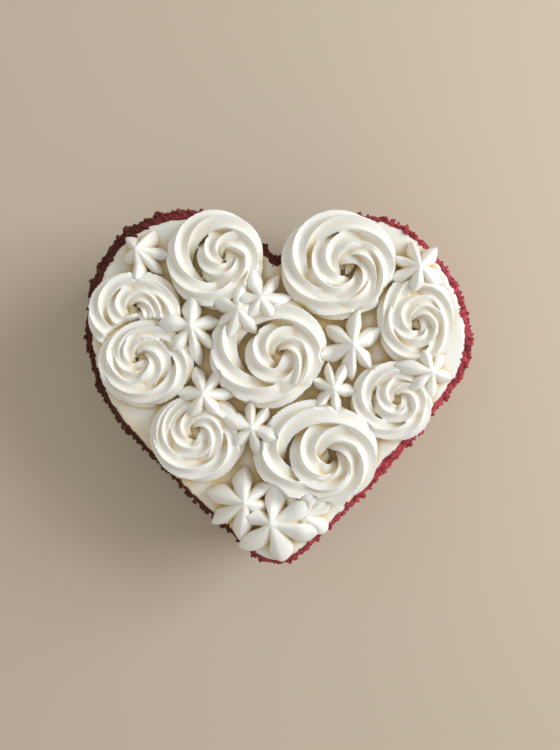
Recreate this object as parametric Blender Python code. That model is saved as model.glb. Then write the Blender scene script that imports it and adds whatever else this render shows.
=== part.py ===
"""Heart shaped layer cake with a crumb coat, a cream top, piped rosettes and piped stars.

Metres, +Z up. The heart's tip points to -Y and the cake stands on the plane z = 0. The layout
below is in millimetres from a point near the middle of the cake.
"""

import math
import random
from dataclasses import dataclass

import bmesh
import bpy
from mathutils import Vector

MM = 0.001

# Middle of the layout's bounding box, which becomes the origin, in millimetres
MIDDLE_X = -0.79
MIDDLE_Y = -6.08

# Heights, in millimetres
RECESS_FLOOR = 61.7
RIM_OUTER = 63.2
RIM_INNER = 64.4
CREAM_BASE = 62.0
CREAM_TOP = 65.0
PIPING_BASE = 65.3
GAP = 0.3

# Crumb coat, in millimetres
OUTLINE_POINTS = 80
SIDE_ROWS = 5
CRUMB_DEPTH = 1.3
RIM_WIDTH = 3.4
RIM_SWING = 1.5
RIM_WIDEST_DEG = 128.0

# Nozzle with six teeth, and the rope that it lays
TEETH = 6
FLAT_DEG = 0.6
CREST_DEG = 32.0
ROSETTE_FACES = 730
VALLEY = 0.58
RING_STEP_DEG = 20.0
LEAD_STEPS = 5
ARC_STEPS = 13
ROPE_SINK = 0.82
TAIL_DEG = 110.0
START_REACH = 0.54
START_HEIGHT = 0.80


@dataclass(frozen=True)
class Anchor:
    """A point of the outline, the heading there, and its handle lengths."""

    x: float
    y: float
    heading_deg: float
    before: float
    after: float


@dataclass(frozen=True)
class Rosette:
    """A swirl piped from its middle outwards, counterclockwise from above. Millimetres.

    The rope starts at a star beside the middle, joins the ring where join_deg says, follows it
    for turn_deg and drifts outwards at its tail.
    """

    name: str
    x: float
    y: float
    radius_x: float
    radius_y: float
    rope: float
    start_away: float
    start_deg: float
    join_deg: float
    tooth_deg: float
    turn_deg: float
    drift: float


@dataclass(frozen=True)
class Star:
    """A drop of cream from the same nozzle, pulled off with its peak lean_x and lean_y aside.

    Millimetres. Each petal has its own bearing in degrees and its own reach.
    """

    name: str
    x: float
    y: float
    height: float
    lean_x: float
    lean_y: float
    bearings: tuple[float, ...]
    reaches: tuple[float, ...]


# From the notch over the right lobe to the tip, and back up the left side to the notch
HEART = (
    Anchor(-1.5, 60.5, 55.0, 0.0, 12.0),
    Anchor(43.0, 84.5, 0.0, 20.0, 27.0),
    Anchor(101.0, 18.0, -90.0, 34.0, 15.0),
    Anchor(83.4, -18.0, -128.0, 17.0, 30.0),
    Anchor(17.6, -89.2, -137.0, 30.0, 7.5),
    Anchor(-1.0, -99.6, -180.0, 7.0, 8.0),
    Anchor(-17.0, -93.0, -225.0, 6.0, 32.0),
    Anchor(-83.5, -26.5, -229.0, 30.0, 16.0),
    Anchor(-102.6, 25.0, -270.0, 20.0, 38.0),
    Anchor(-46.0, 87.2, -360.0, 34.0, 20.0),
    Anchor(-1.5, 60.5, -412.0, 12.0, 0.0),
)

# In the order of piping: a later one lies over an earlier one
ROSETTES = (
    Rosette("rosette_left", -74.6, 31.4, 24.2, 22.2, 7.2, 2.0, -60, 168, 31, 410, 3.0),
    Rosette("rosette_left_lower", -67.9, 6.6, 23.2, 22.0, 7.2, 5.6, -62, 180, 38, 470, 7.5),
    Rosette("rosette_top_left", -32.9, 59.0, 25.4, 25.4, 7.9, 2.8, 225, 108, 14, 370, 1.0),
    Rosette("rosette_top_right", 30.0, 56.2, 29.8, 28.0, 8.6, 4.8, 195, 65, 7, 380, 1.0),
    Rosette("rosette_right", 70.0, 28.1, 19.8, 24.2, 6.6, 1.8, -90, 150, 45, 400, 2.5),
    Rosette("rosette_middle", -6.2, 12.0, 30.2, 28.8, 8.8, 7.0, -62, 180, 20, 350, 0.0),
    Rosette("rosette_lower_left", -41.7, -32.0, 24.0, 22.8, 7.2, 4.7, -32, 213, 20, 490, 4.5),
    Rosette("rosette_right_lower", 58.1, -13.4, 21.8, 20.6, 6.8, 1.8, -60, 165, 28, 340, 0.5),
    Rosette("rosette_lower_right", 18.4, -40.2, 31.8, 27.4, 9.0, 9.6, -17, 200, 30, 400, 1.0),
)
STARS = (
    Star("star_top_left", -70.6, 62.4, 12.0, -2.5, 1.5,
         (-3, 68, 137, 192, 260, 313), (12.4, 12.9, 12.4, 10.8, 13.4, 12.9)),
    Star("star_left", -45.0, 24.6, 15.0, 0.3, 0.0,
         (14, 92, 174, 233, 280, 313), (12.9, 14.4, 15.9, 13.9, 19.5, 14.4)),
    Star("star_notch_left", -21.0, 32.7, 13.0, 0.0, 0.0,
         (2, 81, 164, 216, 251, 308), (12.9, 11.3, 12.4, 12.4, 13.4, 13.4)),
    Star("star_notch_right", -9.7, 38.4, 13.5, 0.0, 0.3,
         (4, 56, 104, 185, 240, 300), (14.4, 14.9, 14.9, 9.8, 9.8, 9.8)),
    Star("star_right", 36.3, 14.8, 14.5, 0.3, 0.5,
         (32, 77, 139, 198, 274, 313), (17.0, 18.0, 15.4, 15.9, 16.5, 14.4)),
    Star("star_right_small", 27.1, -7.2, 13.0, 0.0, 0.0,
         (-7, 65, 99, 155, 227, 280), (10.8, 13.9, 12.9, 10.3, 10.3, 10.3)),
    Star("star_centre_left", -38.4, -9.2, 14.0, 0.0, 0.0,
         (-7, 57, 112, 183, 240, 304), (13.4, 11.9, 13.4, 12.9, 12.4, 11.9)),
    Star("star_centre_low", -14.3, -26.6, 13.5, 0.0, 0.0,
         (-24, 51, 93, 159, 231, 279), (12.9, 11.9, 11.9, 13.9, 11.9, 13.9)),
    Star("star_top_right", 70.1, 54.7, 13.5, 0.0, 0.0,
         (-25, 45, 96, 150, 204, 262), (14.9, 15.4, 13.9, 11.9, 13.4, 11.3)),
    Star("star_right_edge", 76.7, 1.5, 12.5, 0.0, 0.0,
         (-15, 45, 108, 168, 222, 280), (12.4, 11.3, 10.8, 17.5, 11.9, 12.4)),
    Star("star_tip_right", 12.3, -71.6, 11.5, 0.0, 0.0,
         (20, 75, 140, 200, 262, 320), (12.9, 10.8, 10.8, 11.9, 13.9, 14.4)),
    Star("star_tip_left", -19.7, -66.0, 14.0, 1.8, 2.0,
         (-6, 30, 84, 165, 216, 266), (15.4, 18.5, 17.5, 18.5, 18.5, 19.0)),
    Star("star_tip", 0.0, -77.7, 13.0, -4.9, 3.1,
         (-13, 47, 98, 163, 209, 273), (19.0, 18.0, 20.5, 16.5, 23.1, 18.5)),
)

# Columns of a petal from its crest to the next: share of the way, reach, and share of the rise
PETAL = ((0.0, 1.0, 1.0), (0.32, 0.86, 0.74), (0.5, 0.5, 0.28), (0.68, 0.86, 0.74))
START_PETAL = ((0.0, 1.0, 1.0), (0.5, 0.60, 0.30))
PETAL_HALF_DEG = 21.0
# A star from foot to peak: how far it reaches and how high it stands, as shares
STAR_RINGS = ((0.62, 0.0), (1.0, 0.38), (0.68, 0.82), (0.30, 0.97))
START_RINGS = ((0.9, 0.0), (1.0, 0.45), (0.5, 0.9))

# Name, base colour and roughness of each finish
CRUMB = ("red_crumb", (0.30, 0.012, 0.018), 0.95)
CREAM = ("piped_cream", (0.86, 0.80, 0.66), 0.55)
CREAM_COAT = ("cream_coat", (0.84, 0.79, 0.66), 0.6)


# Objects


def clear_scene():
    for obj in list(bpy.data.objects):
        bpy.data.objects.remove(obj, do_unlink=True)


def material(finish):
    """The Principled material of a finish, made once."""
    name, colour, roughness = finish
    if name in bpy.data.materials:
        return bpy.data.materials[name]
    made = bpy.data.materials.new(name)
    made.use_nodes = True
    shader = made.node_tree.nodes["Principled BSDF"]
    shader.inputs["Base Color"].default_value = (*colour, 1.0)
    shader.inputs["Roughness"].default_value = roughness
    made.diffuse_color = (*colour, 1.0)
    return made


def new_object(name, points, faces, finish, smooth):
    """An object from points in millimetres, with its faces turned outwards."""
    placed = [((x - MIDDLE_X) * MM, (y - MIDDLE_Y) * MM, z * MM) for x, y, z in points]
    mesh = bpy.data.meshes.new(name)
    mesh.from_pydata(placed, [], faces)
    work = bmesh.new()
    work.from_mesh(mesh)
    bmesh.ops.recalc_face_normals(work, faces=work.faces)
    work.to_mesh(mesh)
    work.free()
    mesh.materials.append(material(finish))
    for polygon in mesh.polygons:
        polygon.use_smooth = smooth
    obj = bpy.data.objects.new(name, mesh)
    bpy.context.scene.collection.objects.link(obj)
    return obj


def ring_faces(rings, around):
    """Quads between rings of equally many points, each ring following the one before."""
    faces = []
    for ring in range(rings - 1):
        low = ring * around
        high = low + around
        for i in range(around):
            j = (i + 1) % around
            faces.append((low + i, low + j, high + j, high + i))
    return faces


def fan(ring, around, centre):
    """Triangles from one point to a whole ring."""
    low = ring * around
    return [(low + i, low + (i + 1) % around, centre) for i in range(around)]


def combine(target, others, operation):
    """A Boolean of the others on the target, applied, with the others removed."""
    if not others:
        return
    operands = bpy.data.collections.new("operands")
    for other in others:
        operands.objects.link(other)
    modifier = target.modifiers.new("combine", "BOOLEAN")
    modifier.operation = operation
    modifier.operand_type = "COLLECTION"
    modifier.collection = operands
    modifier.solver = "MANIFOLD"
    graph = bpy.context.evaluated_depsgraph_get()
    result = bpy.data.meshes.new_from_object(target.evaluated_get(graph))
    target.modifiers.clear()
    target.data = result
    for other in others:
        bpy.data.objects.remove(other, do_unlink=True)
    bpy.data.collections.remove(operands)


def keep_largest_body(obj):
    """Removes the crumbs that a cut leaves beside the main body, and the bubbles inside it."""
    work = bmesh.new()
    work.from_mesh(obj.data)
    unseen = set(work.faces)
    bodies = []
    while unseen:
        body = [unseen.pop()]
        for face in body:
            for edge in face.edges:
                for near in edge.link_faces:
                    if near in unseen and len(edge.link_faces) == 2:
                        unseen.remove(near)
                        body.append(near)
        bodies.append(body)
    bodies.sort(key=lambda body: sum(face.calc_area() for face in body))
    loose = [face for body in bodies[:-1] for face in body]
    bmesh.ops.delete(work, geom=loose, context="FACES")
    work.to_mesh(obj.data)
    work.free()


def triangulate(obj):
    work = bmesh.new()
    work.from_mesh(obj.data)
    bmesh.ops.triangulate(work, faces=work.faces)
    work.to_mesh(obj.data)
    work.free()


def thin_out(obj, faces):
    """Merges triangles where the shape loses least, down to as many as faces."""
    triangulate(obj)
    modifier = obj.modifiers.new("thin_out", "DECIMATE")
    modifier.ratio = min(1.0, faces / len(obj.data.polygons))
    graph = bpy.context.evaluated_depsgraph_get()
    result = bpy.data.meshes.new_from_object(obj.evaluated_get(graph))
    obj.modifiers.clear()
    obj.data = result


def grown_copy(obj):
    """The same solid with its faces moved outwards by the gap, to cut its neighbours."""
    work = bmesh.new()
    work.from_mesh(obj.data)
    work.normal_update()
    moves = [v.normal * min(2.0, v.calc_shell_factor()) * GAP * MM for v in work.verts]
    for vert, move in zip(work.verts, moves):
        vert.co += move
    mesh = bpy.data.meshes.new("cutter")
    work.to_mesh(mesh)
    work.free()
    cutter = bpy.data.objects.new("cutter", mesh)
    bpy.context.scene.collection.objects.link(cutter)
    return cutter


def simplify_flats(obj):
    """Joins the faces that lie in one plane, such as those under the piping."""
    work = bmesh.new()
    work.from_mesh(obj.data)
    bmesh.ops.dissolve_limit(
        work,
        angle_limit=math.radians(FLAT_DEG),
        use_dissolve_boundaries=False,
        verts=list(work.verts),
        edges=list(work.edges),
    )
    bmesh.ops.triangulate(work, faces=work.faces)
    work.to_mesh(obj.data)
    work.free()


def shade_with_crests(obj):
    """Smooth shading that still breaks at the crests and valleys of the piping."""
    for polygon in obj.data.polygons:
        polygon.use_smooth = True
    obj.data.set_sharp_from_angle(angle=math.radians(CREST_DEG))


def may_touch(a, b):
    """Whether the boxes of two objects overlap."""
    for axis in range(3):
        a_values = [corner[axis] for corner in a.bound_box]
        b_values = [corner[axis] for corner in b.bound_box]
        if max(a_values) < min(b_values) or max(b_values) < min(a_values):
            return False
    return True


# Heart outline


def heading(degrees):
    angle = math.radians(degrees)
    return Vector((math.cos(angle), math.sin(angle)))


def heart_curve(per_span=24):
    """Closely spaced points along the whole outline, clockwise from the notch."""
    points = []
    for start, end in zip(HEART, HEART[1:]):
        a = Vector((start.x, start.y))
        d = Vector((end.x, end.y))
        b = a + start.after * heading(start.heading_deg)
        c = d - end.before * heading(end.heading_deg)
        for k in range(per_span):
            t = k / per_span
            s = 1.0 - t
            points.append(s**3 * a + 3 * s * s * t * b + 3 * s * t * t * c + t**3 * d)
    return points


def evenly_spaced(points, count):
    """As many points as count, the same way apart along the closed line, from its first point."""
    lengths = [0.0]
    for a, b in zip(points, points[1:] + points[:1]):
        lengths.append(lengths[-1] + (b - a).length)
    placed = []
    span = 0
    for k in range(count):
        wanted = lengths[-1] * k / count
        while lengths[span + 1] < wanted:
            span += 1
        share = (wanted - lengths[span]) / (lengths[span + 1] - lengths[span])
        a = points[span]
        b = points[(span + 1) % len(points)]
        placed.append(a.lerp(b, share))
    return placed


def outward_normals(points):
    """The outward direction at each point of a clockwise line."""
    normals = []
    for i in range(len(points)):
        along = points[(i + 1) % len(points)] - points[i - 1]
        normals.append(Vector((-along.y, along.x)).normalized())
    return normals


def rim_width(point):
    """How far the cream stays behind the crumb edge."""
    bearing = math.atan2(point.y, point.x) - math.radians(RIM_WIDEST_DEG)
    return RIM_WIDTH + RIM_SWING * math.cos(bearing)


def inset(points, normals, extra):
    """The outline drawn in by the rim's width and by as much more as extra."""
    return [p - (rim_width(p) + extra) * n for p, n in zip(points, normals)]


# Cake and cream coat


def cake_body():
    """The filled heart with its rough sides, and a shallow recess on top for the cream."""
    rng = random.Random(11)
    outline = evenly_spaced(heart_curve(), OUTLINE_POINTS)
    normals = outward_normals(outline)
    points = []
    for row in range(SIDE_ROWS + 1):
        share = row / SIDE_ROWS
        for p, n in zip(outline, normals):
            out = rng.uniform(-CRUMB_DEPTH, 0.4 * CRUMB_DEPTH)
            height = RIM_OUTER * share
            if 0 < row < SIDE_ROWS:
                height += rng.uniform(-1.6, 1.6)
            elif row == SIDE_ROWS:
                height += rng.uniform(-0.6, 0.8)
            points.append((p.x + out * n.x, p.y + out * n.y, height))
    for p in inset(outline, normals, -0.4 * RIM_WIDTH):
        points.append((p.x, p.y, RIM_INNER + rng.uniform(-0.5, 0.7)))
    for p in inset(outline, normals, 0.0):
        points.append((p.x, p.y, RIM_INNER + rng.uniform(-0.4, 0.3)))
    for p in inset(outline, normals, 0.1):
        points.append((p.x, p.y, RECESS_FLOOR))
    rings = SIDE_ROWS + 4
    faces = ring_faces(rings, OUTLINE_POINTS)
    floor_centre = len(points)
    points.append((0.0, 0.0, 0.0))
    points.append((0.0, 0.0, RECESS_FLOOR))
    faces += fan(0, OUTLINE_POINTS, floor_centre)
    faces += fan(rings - 1, OUTLINE_POINTS, floor_centre + 1)
    return new_object("cake_body", points, faces, CRUMB, smooth=False)


def cream_top():
    """The spread of cream on the cake, level under the piping and rounded at its edge."""
    outline = evenly_spaced(heart_curve(), OUTLINE_POINTS)
    normals = outward_normals(outline)
    profile = (
        (0.1 + GAP, CREAM_BASE),
        (0.1 + GAP, CREAM_TOP - 1.2),
        (1.1, CREAM_TOP - 0.2),
        (3.0, CREAM_TOP),
    )
    points = []
    for extra, height in profile:
        for p in inset(outline, normals, extra):
            points.append((p.x, p.y, height))
    faces = ring_faces(len(profile), OUTLINE_POINTS)
    base_centre = len(points)
    points.append((0.0, 0.0, CREAM_BASE))
    points.append((0.0, 0.0, CREAM_TOP))
    faces += fan(0, OUTLINE_POINTS, base_centre)
    faces += fan(len(profile) - 1, OUTLINE_POINTS, base_centre + 1)
    return new_object("cream_top", points, faces, CREAM_COAT, smooth=True)


# Piping


def smooth_step(value):
    value = min(1.0, max(0.0, value))
    return value * value * (3.0 - 2.0 * value)


def petal_columns(star, petal):
    """Bearing, reach and share of the rise of each column of points round a star."""
    columns = []
    for tooth in range(TEETH):
        after = (tooth + 1) % TEETH
        bearing = star.bearings[tooth]
        gap = (star.bearings[after] - bearing) % 360.0
        for share, reach, rise in petal:
            near = tooth if share < 0.5 else after
            turned = gap * share
            if share < 0.5:
                turned = min(turned, PETAL_HALF_DEG)
            elif share > 0.5:
                turned = max(turned, gap - PETAL_HALF_DEG)
            distance = star.reaches[near]
            if share == 0.5:
                distance = 0.5 * (star.reaches[tooth] + star.reaches[after])
            columns.append((heading(bearing + turned), reach * distance, rise))
    return columns


def star_solid(star, rings=STAR_RINGS, petal=PETAL):
    """A dropped star with six leaf shaped petals that rise to its peak."""
    centre = Vector((star.x, star.y))
    lean = Vector((star.lean_x, star.lean_y))
    columns = petal_columns(star, petal)
    points = []
    for ring_reach, ring_height in rings:
        for direction, reach, rise in columns:
            p = centre + ring_height**2 * lean + ring_reach * reach * direction
            share = ring_height * (0.5 + 0.5 * rise)
            points.append((p.x, p.y, PIPING_BASE + share * star.height))
    around = len(columns)
    faces = ring_faces(len(rings), around)
    faces += fan(0, around, len(points))
    faces += fan(len(rings) - 1, around, len(points) + 1)
    peak = centre + lean
    points.append((centre.x, centre.y, PIPING_BASE))
    points.append((peak.x, peak.y, PIPING_BASE + 1.03 * star.height))
    return new_object(star.name, points, faces, CREAM, smooth=True)


def start_point(rosette):
    return Vector((rosette.x, rosette.y)) + rosette.start_away * heading(rosette.start_deg)


def ring_point(rosette, turned):
    """Middle of the rope so many degrees after it joined the ring."""
    tail = smooth_step((turned - rosette.turn_deg + 190.0) / 190.0)
    away = rosette.drift * tail - rosette.rope
    direction = heading(rosette.join_deg + turned)
    return Vector(
        (
            rosette.x + (rosette.radius_x + away) * direction.x,
            rosette.y + (rosette.radius_y + away) * direction.y,
        )
    )


def rope_point(rosette, step):
    """Middle of the rope at a step: the first steps lead from the start to the ring."""
    if step >= LEAD_STEPS:
        return ring_point(rosette, (step - LEAD_STEPS) * RING_STEP_DEG)
    join = ring_point(rosette, 0.0)
    back = 0.5 * (rosette.radius_x + rosette.radius_y) * heading(rosette.join_deg - 90.0)
    a = start_point(rosette)
    b = a + 0.5 * back
    c = join + 0.42 * back
    t = 0.12 + 0.88 * step / LEAD_STEPS
    s = 1.0 - t
    return s**3 * a + 3 * s * s * t * b + 3 * s * t * t * c + t**3 * join


def rope_steps(rosette):
    return LEAD_STEPS + round(rosette.turn_deg / RING_STEP_DEG)


def rope_ring(rosette, step):
    """The star shaped section of the rope, standing across its path and flat underneath."""
    centre = rope_point(rosette, step)
    along = rope_point(rosette, step + 0.2) - rope_point(rosette, max(0.0, step - 0.2))
    along.normalize()
    travel = math.atan2(along.y, along.x)
    leaving = smooth_step((step + 1.0) / (0.7 * LEAD_STEPS))
    ending = smooth_step((rope_steps(rosette) - step) * RING_STEP_DEG / TAIL_DEG)
    radius = rosette.rope * (0.7 + 0.3 * leaving) * (0.5 + 0.5 * ending)
    ring = []
    for i in range(2 * TEETH):
        tooth = math.radians(rosette.tooth_deg + 180.0 / TEETH * i)
        around = tooth - travel - math.pi
        reach = radius * (1.0 if i % 2 == 0 else VALLEY)
        side = reach * math.sin(around)
        z = PIPING_BASE + ROPE_SINK * radius + reach * math.cos(around)
        z = max(z, PIPING_BASE)
        ring.append((centre.x + side * along.y, centre.y - side * along.x, z))
    return ring


def rope_arc(rosette, first, last):
    """One stretch of the rope, closed at both ends."""
    around = 2 * TEETH
    points = []
    for step in range(first, last + 1):
        points += rope_ring(rosette, step)
    rings = last - first + 1
    faces = ring_faces(rings, around)
    faces.append(tuple(range(around)))
    faces.append(tuple(range((rings - 1) * around, rings * around)))
    return new_object("rope", points, faces, CREAM, smooth=True)


def rosette_solid(rosette):
    """The start star and the rope round it, joined."""
    reach = START_REACH * 0.5 * (rosette.radius_x + rosette.radius_y)
    middle = start_point(rosette)
    height = START_HEIGHT * reach
    bearings = tuple(rosette.tooth_deg + 360.0 / TEETH * tooth for tooth in range(TEETH))
    reaches = (reach,) * TEETH
    start = Star(rosette.name, middle.x, middle.y, height, 0.0, 0.0, bearings, reaches)
    solid = star_solid(start, START_RINGS, START_PETAL)
    arcs = []
    steps = rope_steps(rosette)
    for first in range(0, steps, ARC_STEPS - 1):
        last = min(first + ARC_STEPS, steps)
        arcs.append(rope_arc(rosette, first, last))
    combine(solid, arcs, "UNION")
    thin_out(solid, ROSETTE_FACES)
    return solid


def pipe_everything():
    """All rosettes and stars, each cut back by what was piped over it."""
    solids = [rosette_solid(rosette) for rosette in ROSETTES]
    solids += [star_solid(star) for star in STARS]
    for solid in solids:
        triangulate(solid)
    for i, solid in enumerate(solids):
        over = [later for later in solids[i + 1 :] if may_touch(solid, later)]
        combine(solid, [grown_copy(later) for later in over], "DIFFERENCE")
        keep_largest_body(solid)
        simplify_flats(solid)
        shade_with_crests(solid)


def main():
    clear_scene()
    cake_body()
    cream_top()
    pipe_everything()


main()
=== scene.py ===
"""Looks of a heart shaped cake with a crumb coated side and a top of piped cream.

Lengths in the dataclasses are millimetres, in a layout whose origin is Layout.middle. Meshes
are metres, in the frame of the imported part. Angles are degrees, counterclockwise from above.
"""

from __future__ import annotations

import logging
import math
from collections.abc import Sequence
from dataclasses import dataclass
from enum import Enum

import bmesh
import bpy
import numpy as np
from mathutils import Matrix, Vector, noise

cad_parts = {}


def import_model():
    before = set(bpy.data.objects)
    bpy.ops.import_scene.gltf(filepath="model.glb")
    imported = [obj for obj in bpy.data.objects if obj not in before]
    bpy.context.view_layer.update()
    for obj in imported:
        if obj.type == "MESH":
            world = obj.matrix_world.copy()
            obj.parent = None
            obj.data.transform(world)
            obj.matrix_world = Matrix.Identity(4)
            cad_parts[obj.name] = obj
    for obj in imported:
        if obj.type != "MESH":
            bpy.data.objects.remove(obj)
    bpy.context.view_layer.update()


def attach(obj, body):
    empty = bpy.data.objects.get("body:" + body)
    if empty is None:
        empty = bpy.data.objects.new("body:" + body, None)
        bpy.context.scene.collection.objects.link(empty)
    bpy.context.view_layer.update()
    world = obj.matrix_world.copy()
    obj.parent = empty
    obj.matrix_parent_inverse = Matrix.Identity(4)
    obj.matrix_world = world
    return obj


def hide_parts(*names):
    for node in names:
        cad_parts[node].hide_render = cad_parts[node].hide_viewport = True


LOG = logging.getLogger("heart_cake")
MM = 0.001
BODY = "root"
TEETH = 6
VOXEL = 0.42 * MM

Colour = tuple[float, float, float]


# Layout


@dataclass(frozen=True)
class Layout:
    """Heights of the cake, and the middle of the layout."""

    middle: tuple[float, float] = (-0.79, -6.08)
    rim_outer: float = 63.2
    rim_inner: float = 64.4
    cream_base: float = 62.0
    piping_base: float = 65.0
    piping_foot: float = 64.3

    def to_frame(self, points: np.ndarray) -> np.ndarray:
        """Turns rows of x, y and z in layout millimetres into metres in the frame."""
        return (points - np.array([*self.middle, 0.0])) * MM


LAYOUT = Layout()


def unit(degrees: float | np.ndarray) -> np.ndarray:
    """The level direction at an angle, with the coordinates along the last axis."""
    angle = np.radians(degrees)
    return np.stack([np.cos(angle), np.sin(angle)], axis=-1)


def smooth_step(value: float | np.ndarray) -> np.ndarray:
    """Rises smoothly from 0 to 1 as the value does."""
    value = np.clip(value, 0.0, 1.0)
    return value * value * (3.0 - 2.0 * value)


# Node trees


class Field:
    """A value in a node tree that can be reckoned with like a number."""

    def __init__(self, tree: NodeTree, socket: bpy.types.NodeSocket) -> None:
        """Keeps the tree and the socket that gives the value."""
        self.tree = tree
        self.socket = socket

    def __add__(self, other: Field | float) -> Field:
        """The sum."""
        return self.tree.math("ADD", self, other)

    def __sub__(self, other: Field | float) -> Field:
        """The difference."""
        return self.tree.math("SUBTRACT", self, other)

    def __rsub__(self, other: float) -> Field:
        """The difference from a number."""
        return self.tree.math("SUBTRACT", other, self)

    def __mul__(self, other: Field | float) -> Field:
        """The product."""
        return self.tree.math("MULTIPLY", self, other)

    def __truediv__(self, other: Field | float) -> Field:
        """The quotient."""
        return self.tree.math("DIVIDE", self, other)

    def __pow__(self, other: Field | float) -> Field:
        """The power."""
        return self.tree.math("POWER", self, other)

    __radd__ = __add__
    __rmul__ = __mul__


Value = Field | float | int | bool | str | Sequence[float]
Inputs = dict[str | int, Value] | None


class NodeTree:
    """Adds nodes to a tree and links them by the names of their sockets."""

    def __init__(self, tree: bpy.types.NodeTree) -> None:
        """Keeps the tree that the nodes go into."""
        self.tree = tree

    def add(self, kind: str, inputs: Inputs = None, **settings: Value) -> bpy.types.Node:
        """Adds a node.

        Args:
            kind: The node's type.
            inputs: Values or fields by the name or index of the input socket.
            **settings: The node's own properties.

        Returns:
            The node.
        """
        node = self.tree.nodes.new(kind)
        for name, value in settings.items():
            setattr(node, name, value)
        for name, value in (inputs or {}).items():
            socket = node.inputs[name]
            if isinstance(value, Field):
                self.tree.links.new(value.socket, socket)
            else:
                socket.default_value = value
        return node

    def field(self, kind: str, inputs: Inputs = None, output: str | int = 0,
              **settings: Value) -> Field:
        """Adds a node and gives one of its outputs as a field.

        Args:
            kind: The node's type.
            inputs: Values or fields by the name or index of the input socket.
            output: The name or index of the output socket.
            **settings: The node's own properties.

        Returns:
            The output as a field.
        """
        return Field(self, self.add(kind, inputs, **settings).outputs[output])

    def math(self, operation: str, *values: Value) -> Field:
        """The result of a Math node on numbers or fields."""
        return self.field("ShaderNodeMath", dict(enumerate(values)), operation=operation)

    def vector(self, operation: str, *values: Value) -> Field:
        """The result of a Vector Math node on vectors or fields."""
        return self.field("ShaderNodeVectorMath", dict(enumerate(values)), operation=operation)

    def scaled(self, vector: Field, factor: Value) -> Field:
        """A vector times a number."""
        return self.field("ShaderNodeVectorMath", {0: vector, "Scale": factor}, operation="SCALE")

    def combine(self, x: Value, y: Value, z: Value) -> Field:
        """A vector from its three coordinates."""
        return self.field("ShaderNodeCombineXYZ", {"X": x, "Y": y, "Z": z})

    def parts(self, vector: Field) -> list[Field]:
        """The three coordinates of a vector."""
        node = self.add("ShaderNodeSeparateXYZ", {0: vector})
        return [Field(self, node.outputs[axis]) for axis in "XYZ"]


class Modelling(NodeTree):
    """A Geometry Nodes tree with named inputs that ends in real geometry with a material."""

    def __init__(self, name: str) -> None:
        """Starts a tree that takes a geometry and gives one.

        Args:
            name: The tree's name.
        """
        tree = bpy.data.node_groups.new(name, "GeometryNodeTree")
        super().__init__(tree)
        for way in ("INPUT", "OUTPUT"):
            tree.interface.new_socket("Geometry", in_out=way, socket_type="NodeSocketGeometry")
        self.entry = tree.nodes.new("NodeGroupInput")
        self.identifiers: dict[str, str] = {}

    @property
    def geometry(self) -> Field:
        """The geometry that comes in."""
        return Field(self, self.entry.outputs["Geometry"])

    def input(self, name: str, kind: str, default: Value | None = None) -> Field:
        """Declares a named input.

        Args:
            name: The input's name.
            kind: Float, Int or Material.
            default: Its value where a modifier gives none.

        Returns:
            The input as a field.
        """
        socket = self.tree.interface.new_socket(name, in_out="INPUT", socket_type=f"NodeSocket{kind}")
        if default is not None:
            socket.default_value = default
        self.identifiers[name] = socket.identifier
        return Field(self, self.entry.outputs[name])

    def named(self, name: str) -> Field:
        """A named number that the points of the geometry hold."""
        return self.field("GeometryNodeInputNamedAttribute", {"Name": name}, "Attribute",
                          data_type="FLOAT")

    def finish(self, geometry: Field, material: Field) -> None:
        """Ends the tree in real geometry with its material.

        Args:
            geometry: What the tree has made.
            material: The material of all of it.
        """
        real = self.field("GeometryNodeRealizeInstances", {"Geometry": geometry})
        dressed = self.field("GeometryNodeSetMaterial", {"Geometry": real, "Material": material})
        end = self.tree.nodes.new("NodeGroupOutput")
        self.tree.links.new(dressed.socket, end.inputs["Geometry"])

    def run(self, obj: bpy.types.Object, **values: Value | bpy.types.Material) -> None:
        """Runs the tree on an object and leaves the result as its plain mesh.

        Args:
            obj: The object whose mesh comes in.
            **values: Inputs by name, with _ for a space.
        """
        modifier = obj.modifiers.new(self.tree.name, "NODES")
        modifier.node_group = self.tree
        for name, value in values.items():
            modifier[self.identifiers[name.replace("_", " ")]] = value
        apply_modifiers(obj)


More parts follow.
